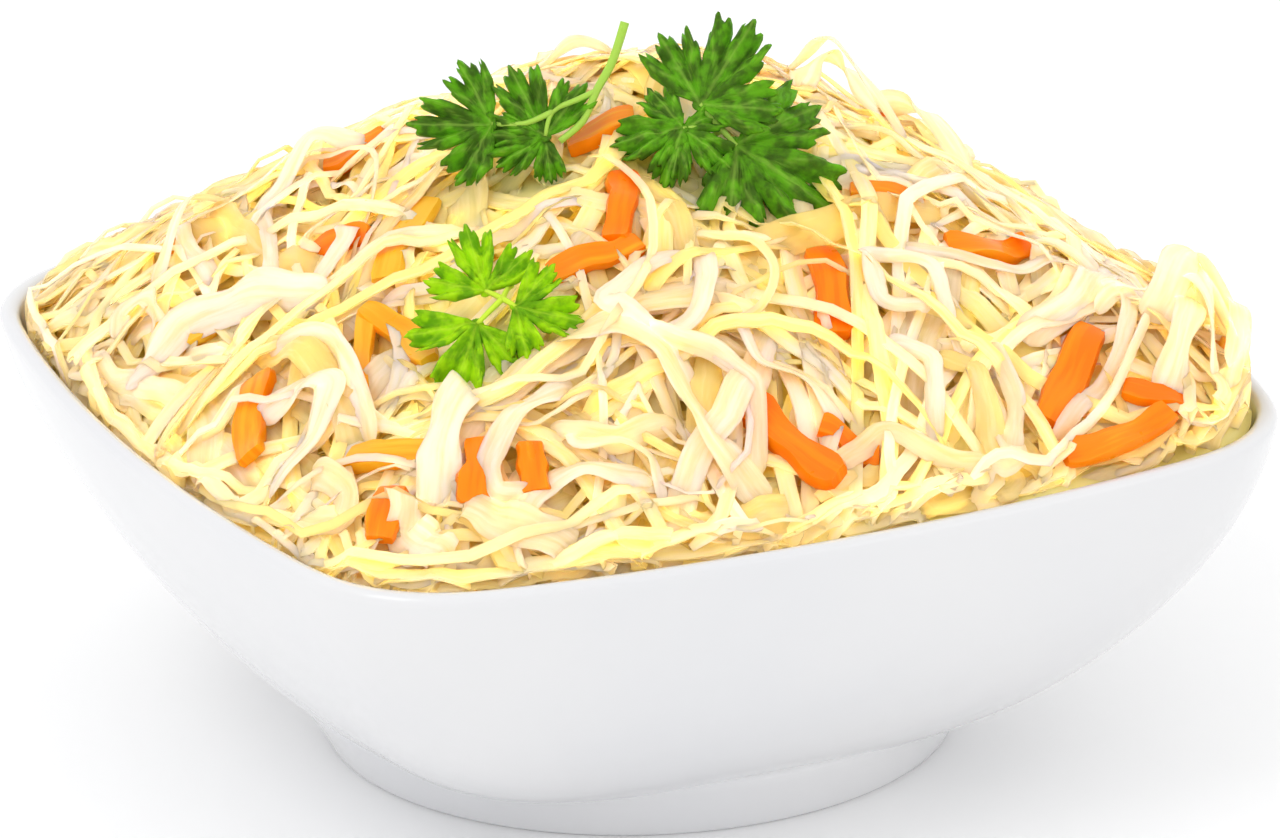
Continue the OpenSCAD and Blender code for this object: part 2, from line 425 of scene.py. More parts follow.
def strip_blank(along, around, squareness):
    """A closed strip of unit size: each point's station, place across and lift, and the faces."""
    bm = tube(along, around)
    bm.verts.ensure_lookup_table()
    points = np.array([v.co[:] for v in bm.verts])
    section = np.sign(points[:, :2]) * np.abs(points[:, :2])**squareness
    faces = [[v.index for v in f.verts] for f in bm.faces]
    bm.free()
    return np.rint(points[:, 2]).astype(int), section[:, 0], section[:, 1], faces


class Kind:
    """One kind of strip: its blank, and the points and colours of all its strips."""

    def __init__(self, name, along, around, squareness=1.0):
        self.name = name
        self.along = along
        self.station, self.across, self.lift, self.faces = strip_blank(along, around, squareness)
        self.points, self.tones, self.fibres = [], [], []

    def add(self, path, side, up, width, thick, cup, tint, depth):
        """Adds one strip along a path, with its width, thickness and cupping at each station."""
        i = self.station
        across = self.across * width[i] / 2
        lift = self.lift * thick[i] / 2 + cup[i] * (self.across**2 - 0.4)
        self.points.append(path[i] + side[i] * across[:, None] + up[i] * lift[:, None])
        # shreds near the wall get a random share of painted wall shade
        near_rim = np.clip((heap_share(path[:, 0], path[:, 1]) - 0.8) / 0.2, 0, 1)
        wall_shade = near_rim * rng.uniform(0, 0.5)
        self.tones.append(np.stack([np.full(len(i), tint - 0.4), depth[i], wall_shade[i]], 1))
        length = np.cumsum(np.r_[0, np.linalg.norm(np.diff(path, axis=0), axis=1)])
        start = rng.uniform(0, 900)
        grain = [length[i] * 90 + start, across * 800, np.full(len(i), start)]
        self.fibres.append(np.stack(grain, 1))

    def finish(self, material, slot):
        """The joined mesh of every strip of this kind, as a piece of the heap."""
        size = len(self.station)
        faces = [[v + n * size for v in f] for n in range(len(self.points)) for f in self.faces]
        mesh = bpy.data.meshes.new(self.name)
        mesh.from_pydata(np.concatenate(self.points), [], faces)
        for name, values in (("tone", self.tones), ("fibre", self.fibres)):
            attribute = mesh.attributes.new(name, "FLOAT_VECTOR", "POINT")
            attribute.data.foreach_set("vector", np.concatenate(values).astype(np.float32).ravel())
        mesh.shade_smooth()
        mesh.set_sharp_from_angle(angle=math.radians(50))
        piece = bpy.data.objects.new(self.name, mesh)
        bpy.context.scene.collection.objects.link(piece)
        mesh.materials.append(material)
        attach(piece, "root")
        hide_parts("kraut_heap")


def blurred(values, reach):
    """Values smoothed over reach samples each way."""
    kernel = np.hanning(2 * reach + 3)[1:-1]
    return np.convolve(np.pad(values, reach, mode="edge"), kernel / kernel.sum(), mode="valid")


def wavy(count, knots, size):
    """A smooth random run of values."""
    knot_values = rng.normal(0, size, knots)
    values = np.interp(np.linspace(0, 1, count), np.linspace(0, 1, knots), knot_values)
    return blurred(values, max(1, count // (2 * knots)))


def to_cell(x):
    """The map's cell in which a place lies."""
    return np.clip(((x + grid_half) / cell).astype(int), 0, cells - 1)


def read_map(values, path):
    """The map's values along a path in plan."""
    return values[to_cell(path[:, 0]), to_cell(path[:, 1])]


def wandering(length, curl, heading):
    """A path in plan that bends to and fro, centred on the origin."""
    bend = wavy(samples, rng.integers(4, 8), curl) + rng.normal(0, 0.25 * curl)
    angle = heading + np.cumsum(bend) * length / samples
    path = np.cumsum(np.stack([np.cos(angle), np.sin(angle)], 1), axis=0) * length / samples
    return path - path.mean(axis=0)


def kept_inside(path, margin):
    """Pulls in what would pass the bowl's wall."""
    reach = heap_reach * rim_reach(np.arctan2(path[:, 1], path[:, 0])) - margin
    return path * np.minimum(1, reach / np.maximum(np.hypot(path[:, 0], path[:, 1]), 1e-6))[:, None]


def frame_along(path, roll):
    """Side and up directions along a path, leaning with the heap and rolled about the path."""
    along = np.gradient(path, axis=0)
    along /= np.maximum(np.linalg.norm(along, axis=1), 1e-9)[:, None]
    out = np.stack([-read_map(slope_x, path), -read_map(slope_y, path), np.ones(len(path))], 1)
    side = np.cross(out, along)
    side /= np.maximum(np.linalg.norm(side, axis=1), 1e-9)[:, None]
    up = np.cross(along, side)
    c, s = np.cos(roll)[:, None], np.sin(roll)[:, None]
    return side * c + up * s, up * c - side * s


def lay(kind, path, width, thick, roll, bridge, sink=0.45, arch=0.0, tip=0.0, dive=0.0,
        tint=0.4, cup=0.0, taper=0.04, ragged=0.06, blunt=0.55):
    """Lays one strip on the heap along a plan path, and raises the height map by it.

    It spans gaps shorter than bridge, settles by sink of its thickness, and rises by arch in
    the middle. One end lifts by tip and both ends go down by dive, narrowing over taper.
    """
    share = np.linspace(0, 1, samples)
    length = np.linalg.norm(np.diff(path, axis=0), axis=1).sum()
    path = kept_inside(path, width / 2 * np.abs(np.cos(roll)).max())
    along = np.gradient(path, axis=0)
    along /= np.maximum(np.linalg.norm(along, axis=1), 1e-9)[:, None]
    across = np.stack([-along[:, 1], along[:, 0]], 1)
    reach = np.abs(np.cos(roll)) * width / 2 + np.abs(np.sin(roll)) * thick / 2
    under = [read_map(height_map, path + across * (offset * reach)[:, None])
             for offset in (-0.8, -0.4, 0, 0.4, 0.8)]
    window = int(np.clip(bridge / length * samples, 3, 30))
    rest = blurred(np.mean(under, axis=0), window)
    own = 0.3 * np.abs(np.sin(roll)) * width / 2 + np.abs(np.cos(roll)) * thick / 2
    from_end = np.minimum(share, 1 - share)
    z = rest + own - sink * thick + arch * np.sin(np.pi * share)**2
    lifted = tip * np.clip((share - 0.6) / 0.4, 0, 1)**1.6
    z += lifted - dive * np.clip(1 - from_end / 0.14, 0, 1)**2
    for offset in np.linspace(-1, 1, 13):
        p = path + across * (offset * reach)[:, None]
        np.maximum.at(height_map, (to_cell(p[:, 0]), to_cell(p[:, 1])), z)
    stations = np.linspace(0, 1, kind.along + 1)

    def at(values):
        """Values read at the strip's own stations."""
        return np.interp(stations, share, values)

    centre = np.stack([at(path[:, 0]), at(path[:, 1]), at(z)], 1)
    side, up = frame_along(centre, at(roll))
    end = np.clip(np.minimum(stations, 1 - stations) / taper, 0, 1)
    widths = width * (blunt + (1 - blunt) * end**0.7)
    widths = widths * (1 + wavy(len(stations), 8, ragged))
    thicks = thick * (blunt + (1 - blunt) * end)
    # how far each station lies below the outline, for the painted gold shade of the gaps, held lower
    # near the wall
    below = read_map(outline, centre[:, :2]) - centre[:, 2]
    from_wall = (1 - heap_share(centre[:, 0], centre[:, 1])) / 0.15
    depth = np.clip((below + 0.5 * MM) / (2.5 * MM), 0, np.clip(from_wall, 0.2, 1))
    kind.add(centre, side, up, widths, thicks, cup * widths, tint, depth)


def flow(spot):
    """The way most shreds lie near a spot: in swaths that turn over the heap."""
    return 1.8 * noise.noise(Vector((spot[0] * 22, spot[1] * 22, 7))) * math.pi - 0.4


def missing_along(path):
    """How much the heap lacks to its outline, on average along a path."""
    return (read_map(outline, path) - read_map(height_map, path)).mean()


def neediest_path(length, curl):
    """Of some random paths in the bowl, the one under which most is missing."""
    angle, share = rng.uniform(0, 2 * np.pi, 40), np.sqrt(rng.uniform(0, 1, 40))
    reach = share * (heap_reach - 2 * MM) * rim_reach(angle)
    spots = np.stack([np.cos(angle), np.sin(angle)], 1) * reach[:, None]
    missing = read_map(outline, spots) - read_map(height_map, spots)
    shape = wandering(length, curl, 0)
    paths = []
    for spot in spots[np.argsort(missing)[-5:]]:
        heading = flow(spot) + rng.normal(0, 0.4)
        c, s = math.cos(heading), math.sin(heading)
        paths.append(kept_inside(shape @ np.array([[c, s], [-s, c]]) + spot, 1 * MM))
    return max(paths, key=missing_along)


def fill(kinds, limit, most, keep_clear=None):
    """Lays random strips where the heap is lowest, until less than limit is missing."""
    laid = misses = 0
    shares = [kind[1] for kind in kinds]
    while laid < most and misses < 80:
        chosen = kinds[rng.choice(len(kinds), p=shares)]
        kind, _, length, width, thick, curl, roll = chosen
        path = neediest_path(rng.uniform(*length) * MM, curl)
        hides = keep_clear is not None and read_map(keep_clear, path).mean() > 0.06
        if hides or missing_along(path) < limit:
            misses += 1
            continue
        misses = 0
        lay(kind, path, rng.uniform(*width) * MM, rng.uniform(*thick) * MM, wavy(samples, 5, 1.2 * roll),
            bridge=rng.uniform(1.5, 5) * MM, arch=rng.choice([0, 0, 0, 1, 2.5]) * MM,
            tip=rng.choice([0, 0, 0, 0, 0, 0, 3]) * MM, dive=rng.uniform(2, 4) * MM,
            tint=rng.beta(1.6, 2.2), cup=rng.uniform(-0.14, 0.14), ragged=0.1 if kind is broad else 0.05)
        laid += 1


under_shreds = Kind("under_shreds", 16, 6)
top_shreds = Kind("top_shreds", 22, 6)
broad = Kind("broad_ribbons", 20, 8)
threads = Kind("fine_threads", 18, 4)
curls = Kind("curled_shreds", 26, 6)

# kind, share of the strips, length, width, thickness in millimetres, curl per metre, roll
UNDER = [(under_shreds, 0.65, (40, 80), (2.4, 4.2), (0.6, 0.9), 30, 0.2),
         (broad, 0.2, (30, 60), (4.5, 8.0), (0.6, 0.9), 22, 0.15),
         (threads, 0.15, (30, 60), (1.3, 2.2), (0.6, 0.9), 45, 0.3)]
TOP = [(top_shreds, 0.57, (50, 110), (1.5, 3.2), (0.35, 0.6), 34, 0.25),
       (broad, 0.12, (35, 75), (3.6, 7.0), (0.35, 0.6), 24, 0.2),
       (threads, 0.2, (40, 90), (0.9, 1.6), (0.35, 0.6), 45, 0.3),
       (curls, 0.11, (24, 48), (1.4, 2.6), (0.35, 0.6), 160, 0.5)]

fill(UNDER, limit=1 * MM, most=1500)


# ---------------------------------------------------------------- the carrot strips
# Raw carrot cut into short thick strips, deep orange with some yellower ones, that lie among
# the shreds. The larger ones show at the top and the near side; the rest are strewn over.
def smooth_route(points):
    """A smooth path of samples through a few plan points in millimetres."""
    points = np.array(points, float) * MM
    run = np.r_[0, np.cumsum(np.linalg.norm(np.diff(points, axis=0), axis=1))]
    even = np.linspace(0, run[-1], samples)
    window = samples // (3 * len(points)) + 1
    return np.stack([blurred(np.interp(even, run, points[:, k]), window) for k in (0, 1)], 1)


carrots = Kind("carrot_strips", 14, 8, 0.45)
# route, width, thickness, yellowness
CARROTS = [
    ([(-38, 30), (-29, 25)], 4.5, 2.4, 0.2), ([(-58, 50), (-57, 45), (-60, 40)], 4, 2, 0.3),
    ([(-71, 21), (-66, 13), (-57, 9)], 6, 2.2, 0.75), ([(-51, 9), (-43, 0)], 4.5, 2.2, 0.1),
    ([(-47, -15), (-42, -8), (-33, -1)], 5, 2, 0.75), ([(-13, -7), (-3, -11)], 5, 2.6, 0.2),
    ([(-9, -19), (-12, -26), (-17, -33)], 5, 2.6, 0.0),
    ([(-28, -33), (-20, -35), (-13, -34)], 5, 2.4, 0.2),
    ([(-66, -11), (-72, -19), (-75, -27)], 5.5, 2.2, 0.3),
    ([(-61, -36), (-56, -26), (-51, -17)], 3.2, 1.8, 0.55),
    ([(-52, -17), (-48, -25), (-49, -36)], 4.6, 2, 0.6),
    ([(-66, -43), (-62, -48), (-56, -53)], 5.5, 2.6, 0.6), ([(-50, -56), (-55, -65)], 5, 2.4, 0.1),
    ([(-44, -61), (-46, -68)], 4.5, 2.4, 0.1), ([(-64, -56), (-70, -64)], 5.5, 2.4, 0.1),
    ([(14, -39), (13, -46), (9, -56)], 5.5, 2.4, 0.05),
    ([(34, -42), (41, -43), (49, -40)], 5.5, 2.4, 0.1), ([(24, -29), (35, -33)], 4, 2.2, 0.3),
    ([(51, -58), (45, -64), (36, -72)], 5.5, 2.6, 0.05), ([(-9, -62), (-6, -70), (-1, -79)], 6, 3, 0.0),
    ([(0, -69), (8, -74)], 4.5, 2.2, 0.1), ([(51, -68), (60, -74)], 4.5, 2.4, 0.0),
    ([(36, -78), (45, -77), (56, -75)], 5, 2.4, 0.1), ([(72, -62), (76, -54)], 5, 2.2, 0.4),
    ([(20, 30), (28, 36), (36, 38)], 5.5, 2.4, 0.1), ([(-12, 42), (-20, 50)], 5, 2.4, 0.4),
    ([(48, 12), (52, 22), (50, 32)], 5.5, 2.4, 0.0), ([(5, 62), (14, 66), (22, 64)], 5, 2.2, 0.2),
    ([(60, 50), (66, 58)], 5, 2.4, 0.5), ([(-40, 60), (-32, 68)], 5.5, 2.4, 0.1),
    ([(70, -8), (73, 3)], 5, 2.2, 0.2), ([(34, 60), (42, 68), (48, 70)], 5, 2.4, 0.0),
    ([(20, 8), (27, 14)], 5, 2.4, 0.2), ([(-5, 22), (4, 26)], 4.5, 2.2, 0.6)]

# where the top shreds mostly leave the carrots and the sprigs in sight
keep_clear = np.zeros_like(height_map)
spot_radius = 6.5 * MM


def lay_carrot(route, width, thick, yellow):
    """One carrot strip along its route, with the map kept clear over its middle."""
    path = smooth_route(route)
    lay(carrots, path, width * MM, thick * MM, wavy(samples, 3, 0.2), bridge=14 * MM, sink=0.1,
        tint=yellow, taper=0.1, ragged=0.13, blunt=0.8)
    middle = path[samples // 6:-samples // 6]
    for x, y in middle:
        near = np.hypot(grid_x - x, grid_y - y) < 0.35 * width * MM
        keep_clear[near] = 1


for carrot in CARROTS:
    lay_carrot(*carrot)
for x, y in ((-38, -30), (-34, -40), (-44, -41), (-29, -6), (-19, -12),
             (8, -15), (-3, -20), (14, -29)):
    keep_clear[np.hypot(grid_x - x * MM, grid_y - y * MM) < spot_radius] = 1


def carrot_material():
    """Moist carrot, orange to amber, streaked along its length."""
    material, tree, shader = new_material("carrot")
    _, grain, mixed = add_fibre(tree, 0.8)
    colour = ramp(tree, mixed, [
        (0.1, (1.0, 0.19, 0.0)), (0.35, (1.0, 0.25, 0.001)),
        (0.7, (1.0, 0.40, 0.01)), (1.0, (0.98, 0.52, 0.03))])
    tree.links.new(colour, shader.inputs["Base Color"])
    tree.links.new(add_mottle(tree, 300, 0.22, 0.4), shader.inputs["Roughness"])
    add_bump(tree, shader, grain, 0.4, 0.3 * MM)
    shader.subsurface_method = "BURLEY"
    shader.inputs["Subsurface Weight"].default_value = 0.5
    shader.inputs["Subsurface Radius"].default_value = (1.0, 0.45, 0.1)
    shader.inputs["Specular IOR Level"].default_value = 0.2
    shader.inputs["Subsurface Scale"].default_value = 2 * MM
    return material


carrots.finish(carrot_material(), "carrot")


# ---------------------------------------------------------------- the topmost shreds
# The last of the shreds, over and between the carrots, and the large loose ribbons that lie
# across the top: wide pale ones, loops and hooks.
fill(TOP, limit=-1.5 * MM, most=2600, keep_clear=keep_clear)

loose = Kind("loose_ribbons", 30, 8)
# route, width, tint, arch
RIBBONS = [
    ([(-53, -6), (-61, 7), (-68, 16), (-74, 13), (-78, 16)], 7.5, 0.05, 1),
    ([(-74, 27), (-72, 31), (-69, 27), (-70, 19)], 3.5, 0.2, 1),
    ([(-44, 6), (-47, 0), (-54, -1)], 3.5, 0.1, 1.5), ([(-57, 43), (-60, 32), (-61, 20)], 3, 0.1, 1),
    ([(-50, 26), (-53, 16), (-57, 6)], 2.8, 0.15, 1),
    ([(-64, -8), (-58, -20), (-60, -31), (-62, -43)], 4.2, 0.15, 1),
    ([(-71, -20), (-65, -24), (-63, -31), (-68, -35), (-76, -35)], 5.5, 0.05, 1.5),
    ([(-77, -46), (-72, -54), (-69, -50), (-71, -40)], 5, 0.25, 1),
    ([(-46, -44), (-53, -52), (-56, -55), (-60, -63)], 6.5, 0.05, 2),
    ([(-33, -53), (-44, -56), (-51, -61), (-52, -66), (-46, -68)], 4, 0.15, 1),
    ([(-6, -38), (-16, -41), (-24, -44), (-24, -48),
      (-20, -52), (-11, -51), (-7, -45), (-4, -36)], 3.6, 0.0, 1.5),
    ([(-34, -44), (-25, -50), (-18, -54), (-17, -63), (-18, -70), (-12, -77)], 5.5, 0.25, 0.5),
    ([(-21, -51), (-11, -57), (-8, -64), (-12, -73)], 3.5, 0.2, 0.5),
    ([(-40, -59), (-31, -65), (-20, -63)], 4, 0.3, 0.5),
    ([(-37, -60), (-38, -64), (-32, -66), (-27, -68), (-28, -74)], 2, 0.1, 1),
    ([(-49, -69), (-43, -67), (-36, -69), (-28, -71)], 4.5, 0.15, 1),
    ([(-6, -50), (-5, -59), (0, -61), (2, -64), (3, -69), (-2, -75)], 2.6, 0.15, 1),
    ([(17, -46), (23, -45), (29, -49), (28, -57)], 2.2, 0.05, 2),
    ([(19, -46), (18, -53), (25, -56)], 3, 0.1, 1), ([(24, -42), (40, -48), (59, -44)], 2.6, 0.2, 0.5),
    ([(38, -60), (50, -56), (66, -36)], 5.5, 0.1, 1), ([(16, -59), (22, -63), (17, -74)], 3, 0.1, 1),
    ([(23, -61), (28, -65), (27, -72), (24, -79)], 4, 0.8, 0.5),
    ([(32, -60), (33, -69), (28, -78)], 3, 0.2, 0.5),
    ([(52, -57), (60, -51), (58, -57), (52, -65), (36, -75)], 3, 0.15, 1),
    ([(0, -75), (9, -72), (16, -77), (24, -81)], 3.5, 0.3, 1),
    ([(-63, -60), (-66, -66), (-63, -72)], 8, 0.2, 0.5),
    ([(-57, -64), (-52, -72), (-44, -76)], 7, 0.3, 0.5),
    # the tuft at the right corner
    ([(56, -72), (65, -64), (71, -50)], 5, 0.15, 6), ([(66, -70), (69, -62), (66, -48)], 4, 0.1, 5),
    ([(75, -66), (70, -58), (74, -44)], 5, 0.1, 4), ([(60, -60), (68, -56), (78, -58)], 5.5, 0.2, 4),
    ([(56, -50), (66, -54), (76, -50)], 3, 0.15, 2), ([(68, -72), (74, -62), (78, -52)], 4, 0.3, 2),
    # along the far walls and over the back
    ([(74, -74), (79, -60), (81, -40)], 4, 0.2, 1), ([(80, -56), (82, -30), (82, -5)], 3.5, 0.3, 1),
    ([(30, 3), (38, 7), (46, 4)], 4.5, 0.1, 6), ([(32, 12), (40, 2), (44, -8)], 3, 0.15, 6),
    ([(46, 14), (53, 8), (57, -4)], 5, 0.2, 5), ([(-30, 26), (-40, 30), (-50, 28)], 3.5, 0.15, 4),
    ([(-48, 44), (-56, 40), (-66, 32)], 3, 0.2, 4), ([(4, 6), (-4, 12), (-14, 10)], 3, 0.1, 3)]
for route, width, tint, arch in RIBBONS:
    lay(loose, smooth_route(route), width * MM, rng.uniform(0.45, 0.65) * MM, wavy(samples, 5, 0.5),
        bridge=5 * MM, sink=0.1, arch=arch * MM, tint=tint, cup=rng.uniform(-0.12, 0.12),
        taper=0.05, ragged=0.1, dive=1.5 * MM, blunt=0.4)

kraut = cabbage_material("cabbage", 0.0, 0)
clear_kraut = cabbage_material("clear_cabbage", 0.0, 0.4)
for kind in (under_shreds, top_shreds, broad, threads, curls, loose):
    kind.finish(clear_kraut if kind in (broad, loose) else kraut, "cabbage")


# ---------------------------------------------------------------- the parsley
# Three sprigs of fresh parsley laid on the heap: each has three or four leaflets of three
# toothed lobes, folded along their veins, on thin ridged stalks. The sprig in front is young
# and yellow-green, and the two at the top are darker.
leaf_thickness = 0.4 * MM
lobe_angle = math.radians(64)
middle_length = 1
side_length = 0.86
leaf_sectors = 150


def lobe_place(angle):
    """Which lobe an angle belongs to: the lobe's middle, and how far from it, -1 to 1."""
    lobe = max(-1, min(1, round(angle / lobe_angle))) * lobe_angle
    return lobe, (angle - lobe) / (lobe_angle / 2)


def leaf_reach(angle, cut):
    """How far a leaflet of unit length reaches from its foot at an angle, its lobes parted by cut."""
    lobe, off = lobe_place(angle)
    side = abs(off)
    if side > 1.3:
        return 0.08
    length = middle_length if lobe == 0 else side_length
    body = 1 - cut * min(side, 1.1)**4 - 0.08 * side * side
    part = abs(2 * ((off * 1.5 + 0.5) % 1) - 1)
    tooth = abs(2 * ((off * 4.5 + 0.5) % 1) - 1)
    return length * body * (1 - 0.19 * part**2.5) * (1 - 0.13 * tooth**2)


def vein_mask(x, y):
    """1 on the leaflet's veins, 0 between them, for a point on a leaflet of unit length."""
    nearest = 1.0
    for lobe in (-lobe_angle, 0, lobe_angle):
        length = 0.95 if lobe == 0 else 0.8
        for tooth, start in ((0, 0.0), (-0.8, 0.28), (0.8, 0.28), (-0.4, 0.5), (0.4, 0.5)):
            tip = lobe + tooth * lobe_angle / 2
            a = Vector((math.cos(lobe), math.sin(lobe))) * start * length
            b = Vector((math.cos(tip), math.sin(tip))) * length * (1 - 0.12 * abs(tooth))
            along = max(0, min(1, (Vector((x, y)) - a).dot(b - a) / (b - a).length_squared))
            gap = (Vector((x, y)) - a - along * (b - a)).length
            vein_width = 0.024 if tooth == 0 else 0.016
            nearest = min(nearest, gap / vein_width / (1.15 - 0.6 * along))
    return math.exp(-nearest**2)


def leaflet(foot, heading, rise, roll, length, cup, cut, curl):
    """Spins a leaf disc round its foot, cuts it to the lobed outline, bends it and puts it in place."""
    bm = bmesh.new()
    vein = bm.verts.layers.float.new("vein")
    shares = (0.0, 0.1, 0.2, 0.3, 0.4, 0.5, 0.6, 0.7, 0.8, 0.88, 0.95)
    rows = [(share, 1) for share in shares] + [(1, 0)] + [(share, -1) for share in reversed(shares)]
    chain = [bm.verts.new((share, 0, side)) for share, side in rows]
    edges = [bm.edges.new(pair) for pair in zip(chain, chain[1:])]
    bmesh.ops.spin(bm, geom=chain + edges, axis=(0, 0, 1), cent=(0, 0, 0),
                   steps=leaf_sectors, angle=2 * math.pi, use_merge=True)
    bmesh.ops.remove_doubles(bm, verts=bm.verts, dist=1e-6)
    turn = (Matrix.Translation(Vector(foot) * MM) @ Matrix.Rotation(math.radians(heading), 4, "Z")
            @ Matrix.Rotation(math.radians(-rise), 4, "Y") @ Matrix.Rotation(math.radians(roll), 4, "X"))
    for v in bm.verts:
        share, side = math.hypot(v.co.x, v.co.y), v.co.z
        around = math.atan2(v.co.y, v.co.x) / math.pi
        angle = math.pi * around * (0.55 + 0.45 * around**4)
        reach = share * leaf_reach(angle, cut)
        x, y = reach * math.cos(angle), reach * math.sin(angle)
        off = min(1, abs(lobe_place(angle)[1]))
        v[vein] = 0.4 * vein_mask(x, y)
        fold = 0.22 * reach * (off - 0.4) + 0.12 * reach * share * math.cos(angle * 17)
        crease = 0.09 * noise.noise(Vector((x * 5, y * 5, heading)))
        crease += 0.05 * noise.noise(Vector((x * 13, y * 13, 3)))
        z = (cup * reach**2 + fold + crease - 0.03 * v[vein] - curl * share**3 * reach) * length * MM
        v.co = turn @ Vector((x * length * MM, y * length * MM, z + side * leaf_thickness / 2))
    return bm


def stalk(route, thick, thin):
    """A ridged stalk along a route in millimetres, tapering from thick to thin."""
    route = [Vector(p) * MM for p in route]
    path = []
    for k, t in ((k, t) for k in range(len(route) - 1) for t in (0, 0.25, 0.5, 0.75)):
        before, after = route[max(k - 1, 0)], route[min(k + 2, len(route) - 1)]
        a, b = route[k], route[k + 1]
        path.append(0.5 * (2 * a + (b - before) * t + (2 * before - 5 * a + 4 * b - after) * t * t
                           + (3 * a - before - 3 * b + after) * t**3))
    path.append(route[-1])
    bm = tube(len(path) - 1, 12)
    vein = bm.verts.layers.float.new("vein")
    for v in bm.verts:
        k = round(v.co.z)
        way = path[min(k + 1, len(path) - 1)] - path[max(k - 1, 0)]
        ridge = 0.93 + 0.07 * math.cos(6 * math.atan2(v.co.y, v.co.x))
        radius = (thick + (thin - thick) * k / (len(path) - 1)) * ridge
        v.co = path[k] + way.to_track_quat("Z", "Y") @ Vector((v.co.x * radius, v.co.y * radius, 0))
        v[vein] = 1
    return bm


def join(bm, part):
    """Moves a part's mesh into another."""
    mesh = bpy.data.meshes.new("part")
    part.to_mesh(mesh)
    part.free()
    bm.from_mesh(mesh)
    bpy.data.meshes.remove(mesh)


def parsley_material(name, dark, light, vein_colour):
    """Leaf green mottled between dark and light, with paler veins."""
    material, tree, shader = new_material(name)
    vein = tree.nodes.new("ShaderNodeAttribute")
    vein.attribute_name = "vein"
    blade = ramp(tree, add_mottle(tree, 380, -0.8, 1.8), [(0.1, dark), (0.9, light)])
    veined = add_mix(tree, vein.outputs["Fac"], blade, vein_colour)
    tree.links.new(veined, shader.inputs["Base Color"])
    tree.links.new(add_mottle(tree, 500, 0.3, 0.5), shader.inputs["Roughness"])
    add_bump(tree, shader, add_mottle(tree, 1100, 0, 1), 0.5, 0.3 * MM)
    shader.inputs["Specular IOR Level"].default_value = 0.04
    shader.inputs["Subsurface Weight"].default_value = 0.15
    shader.inputs["Subsurface Radius"].default_value = (0.4, 1.0, 0.1)
    shader.inputs["Subsurface Scale"].default_value = 0.8 * MM
    return material


# each leaflet's foot in millimetres, heading, rise and roll in degrees, length, cup, cut and curl
SPRIGS = {
    "parsley_left": (
        ([-24.6, -5.2, 103.9], 136, -9, -60, 12.8, 0.45, 0.4, 0.2),
        ([-17.5, -9.1, 102], 106, 48, -32, 12.5, 0.2, 0.4, 0.2),
        ([-17.5, -9.1, 102], 176, -26, -50, 9, 0.15, 0.4, 0.2)),
    "parsley_right": (
        ([4.2, -18.7, 106.6], 12, 44, 31, 15.5, 0.2, 0.3, 0.15),
        ([0.7, -19.9, 103.6], 161, -5, -45, 11.4, -0.1, 0.4, 0.2),
        ([0.7, -19.9, 103.6], -54, -27, 38, 9.5, -0.1, 0.4, 0.2),
        ([8.2, -23, 100.6], -43, -27, 40, 19, -0.1, 0.25, 0.15)),
    "parsley_front": (
        ([-38.7, -33.9, 88.8], 87, 43, -15, 11.3, 0.15, 0.6, 0.1),
        ([-36.7, -40.4, 88.1], -35, -11, 44, 10.8, 0.1, 0.5, 0.1),
        ([-42.5, -39.2, 86], -141, -42, -19, 13.2, -0.1, 0.6, 0.1))}
# each stalk's route in millimetres; the one long route is the left sprig's main stem
STALKS = {
    "parsley_left": (
        ([-3.5, -8.6, 117.9], [-6.2, -9.7, 112.5], [-9.2, -10.1, 108.2],
         [-11.9, -10.8, 104], [-15.6, -10.3, 101.2]),
        ([-9.2, -10.1, 108.2], [-12.2, -9.3, 107], [-15.8, -8.3, 105.4], [-17.5, -9.1, 102]),
        ([-15.8, -8.3, 105.4], [-20, -7.3, 103.9], [-24.6, -5.2, 103.9])),
    "parsley_right": (
        ([6.6, -21.3, 102.8], [5.4, -19.4, 104.6], [4.2, -18.7, 106.6]),
        ([6.6, -21.3, 102.8], [3.6, -20.4, 103.4], [0.7, -19.9, 103.6]),
        ([6.6, -21.3, 102.8], [7.4, -22.4, 101.6], [8.2, -23, 100.6]),
        ([6.6, -21.3, 102.8], [6, -17.6, 100.4], [5.4, -13.6, 98.6])),
    "parsley_front": (
        ([-37.6, -37.6, 88.6], [-38.2, -35.8, 88.8], [-38.7, -33.9, 88.8]),
        ([-37.6, -37.6, 88.6], [-37.2, -39, 88.5], [-36.7, -40.4, 88.1]),
        ([-37.6, -37.6, 88.6], [-40.2, -38.6, 87.4], [-42.5, -39.2, 86]),
        ([-37.6, -37.6, 88.6], [-35.8, -35.3, 89], [-34, -33.2, 88.6]))}
main_stem = (0.75 * MM, 0.5 * MM)
leaf_stalk = (0.5 * MM, 0.35 * MM)
young = parsley_material("young_parsley", (0.08, 0.32, 0.0), (0.37, 0.74, 0.0), (0.62, 0.85, 0.06))
grown = parsley_material("grown_parsley", (0.005, 0.06, 0.0), (0.09, 0.37, 0.0), (0.42, 0.68, 0.10))
for node, leaflets in SPRIGS.items():
    bm = bmesh.new()
    for values in leaflets:
        join(bm, leaflet(*values))
    for route in STALKS[node]:
        thick, thin = main_stem if len(route) > 4 else leaf_stalk
        join(bm, stalk(route, thick, thin))
    bmesh.ops.recalc_face_normals(bm, faces=bm.faces)
    for f in bm.faces:
        f.smooth = True
    sprig = new_piece(node + "_sprig", bm)
    sprig.data.materials.append(young if node == "parsley_front" else grown)
    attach(sprig, "root")
    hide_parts(node)


# ---------------------------------------------------------------- table, light and camera
# A plain pale table, soft white light all round with a little more from the left and above,
# and a long lens that looks down on the bowl's near corner.
bm = bmesh.new()
bmesh.ops.create_circle(bm, cap_ends=True, segments=64, radius=6)
table = new_piece("table", bm)


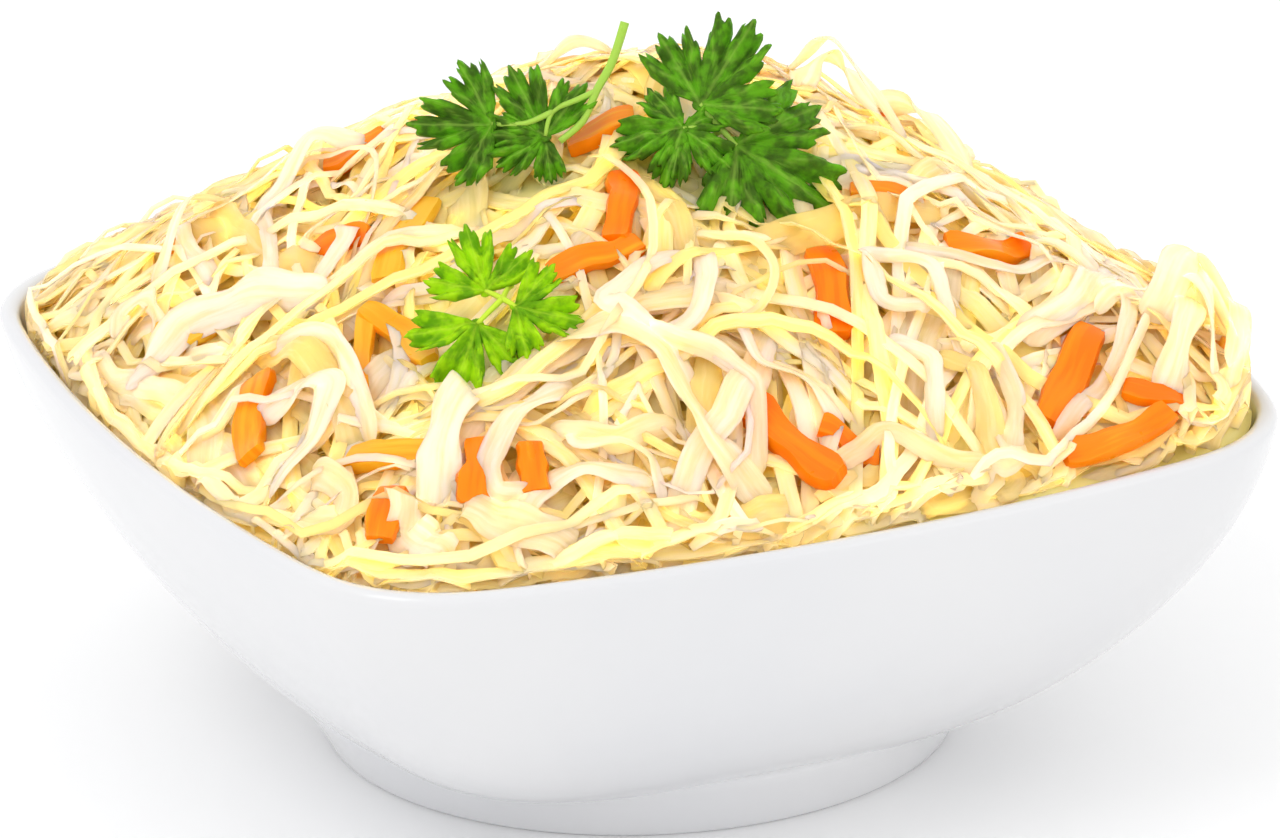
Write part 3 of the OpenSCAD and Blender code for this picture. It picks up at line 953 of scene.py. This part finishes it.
def table_material():
    """Matt white with a faint unevenness."""
    material, tree, shader = new_material("pale_table")
    tint = ramp(tree, add_mottle(tree, 2, 0, 1), [
        (0.2, (0.965, 0.965, 0.965)), (0.8, (0.985, 0.985, 0.985))])
    tree.links.new(tint, shader.inputs["Base Color"])
    shader.inputs["Roughness"].default_value = 0.6
    return material


table.data.materials.append(table_material())

world = bpy.data.worlds.new("studio")
bpy.context.scene.world = world
world.use_nodes = True
surroundings = world.node_tree.nodes["Background"]
surroundings.inputs["Color"].default_value = (1, 1, 1, 1)
surroundings.inputs["Strength"].default_value = 1.07


def softbox(name, place, aim, size, power):
    """A square area light at place, facing aim."""
    light = bpy.data.lights.new(name, "AREA")
    light.shape = "RECTANGLE"
    light.size, light.size_y = size
    light.energy = power
    lamp = bpy.data.objects.new(name, light)
    lamp.location = place
    lamp.rotation_euler = (Vector(aim) - Vector(place)).to_track_quat("-Z", "Y").to_euler()
    bpy.context.scene.collection.objects.link(lamp)


softbox("key_light", place=(-1.1, -0.3, 1.5), aim=(0, 0, 0.06), size=(0.8, 0.8), power=4)
softbox("fill_light", place=(1.2, -1.6, 0.9), aim=(0, 0, 0.06), size=(1.2, 1.2), power=1.5)

camera_data = bpy.data.cameras.new("camera")
camera = bpy.data.objects.new("camera", camera_data)
bpy.context.scene.collection.objects.link(camera)
bpy.context.scene.camera = camera
azimuth = math.radians(-23.86)
elevation = math.radians(21.22)
camera_tilt = math.radians(-1.39)
distance = 2.3727
camera_data.lens = 431.8
camera_data.sensor_width = 36
camera_data.clip_end = 50
back = Vector((math.sin(azimuth) * math.cos(elevation), -math.cos(azimuth) * math.cos(elevation),
               math.sin(elevation)))
right = Vector((math.cos(azimuth), math.sin(azimuth), 0))
up = back.cross(right)
target = Vector((0, 0, 49.4 * MM)) + right * 1.1 * MM
camera_right = right * math.cos(camera_tilt) + up * math.sin(camera_tilt)
camera_up = up * math.cos(camera_tilt) - right * math.sin(camera_tilt)
turn = Matrix((camera_right, camera_up, back)).transposed().to_4x4()
camera.matrix_world = Matrix.Translation(target + back * distance) @ turn

bpy.context.scene.view_settings.view_transform = "Standard"
bpy.context.scene.cycles.max_bounces = 20
bpy.context.scene.cycles.diffuse_bounces = 16
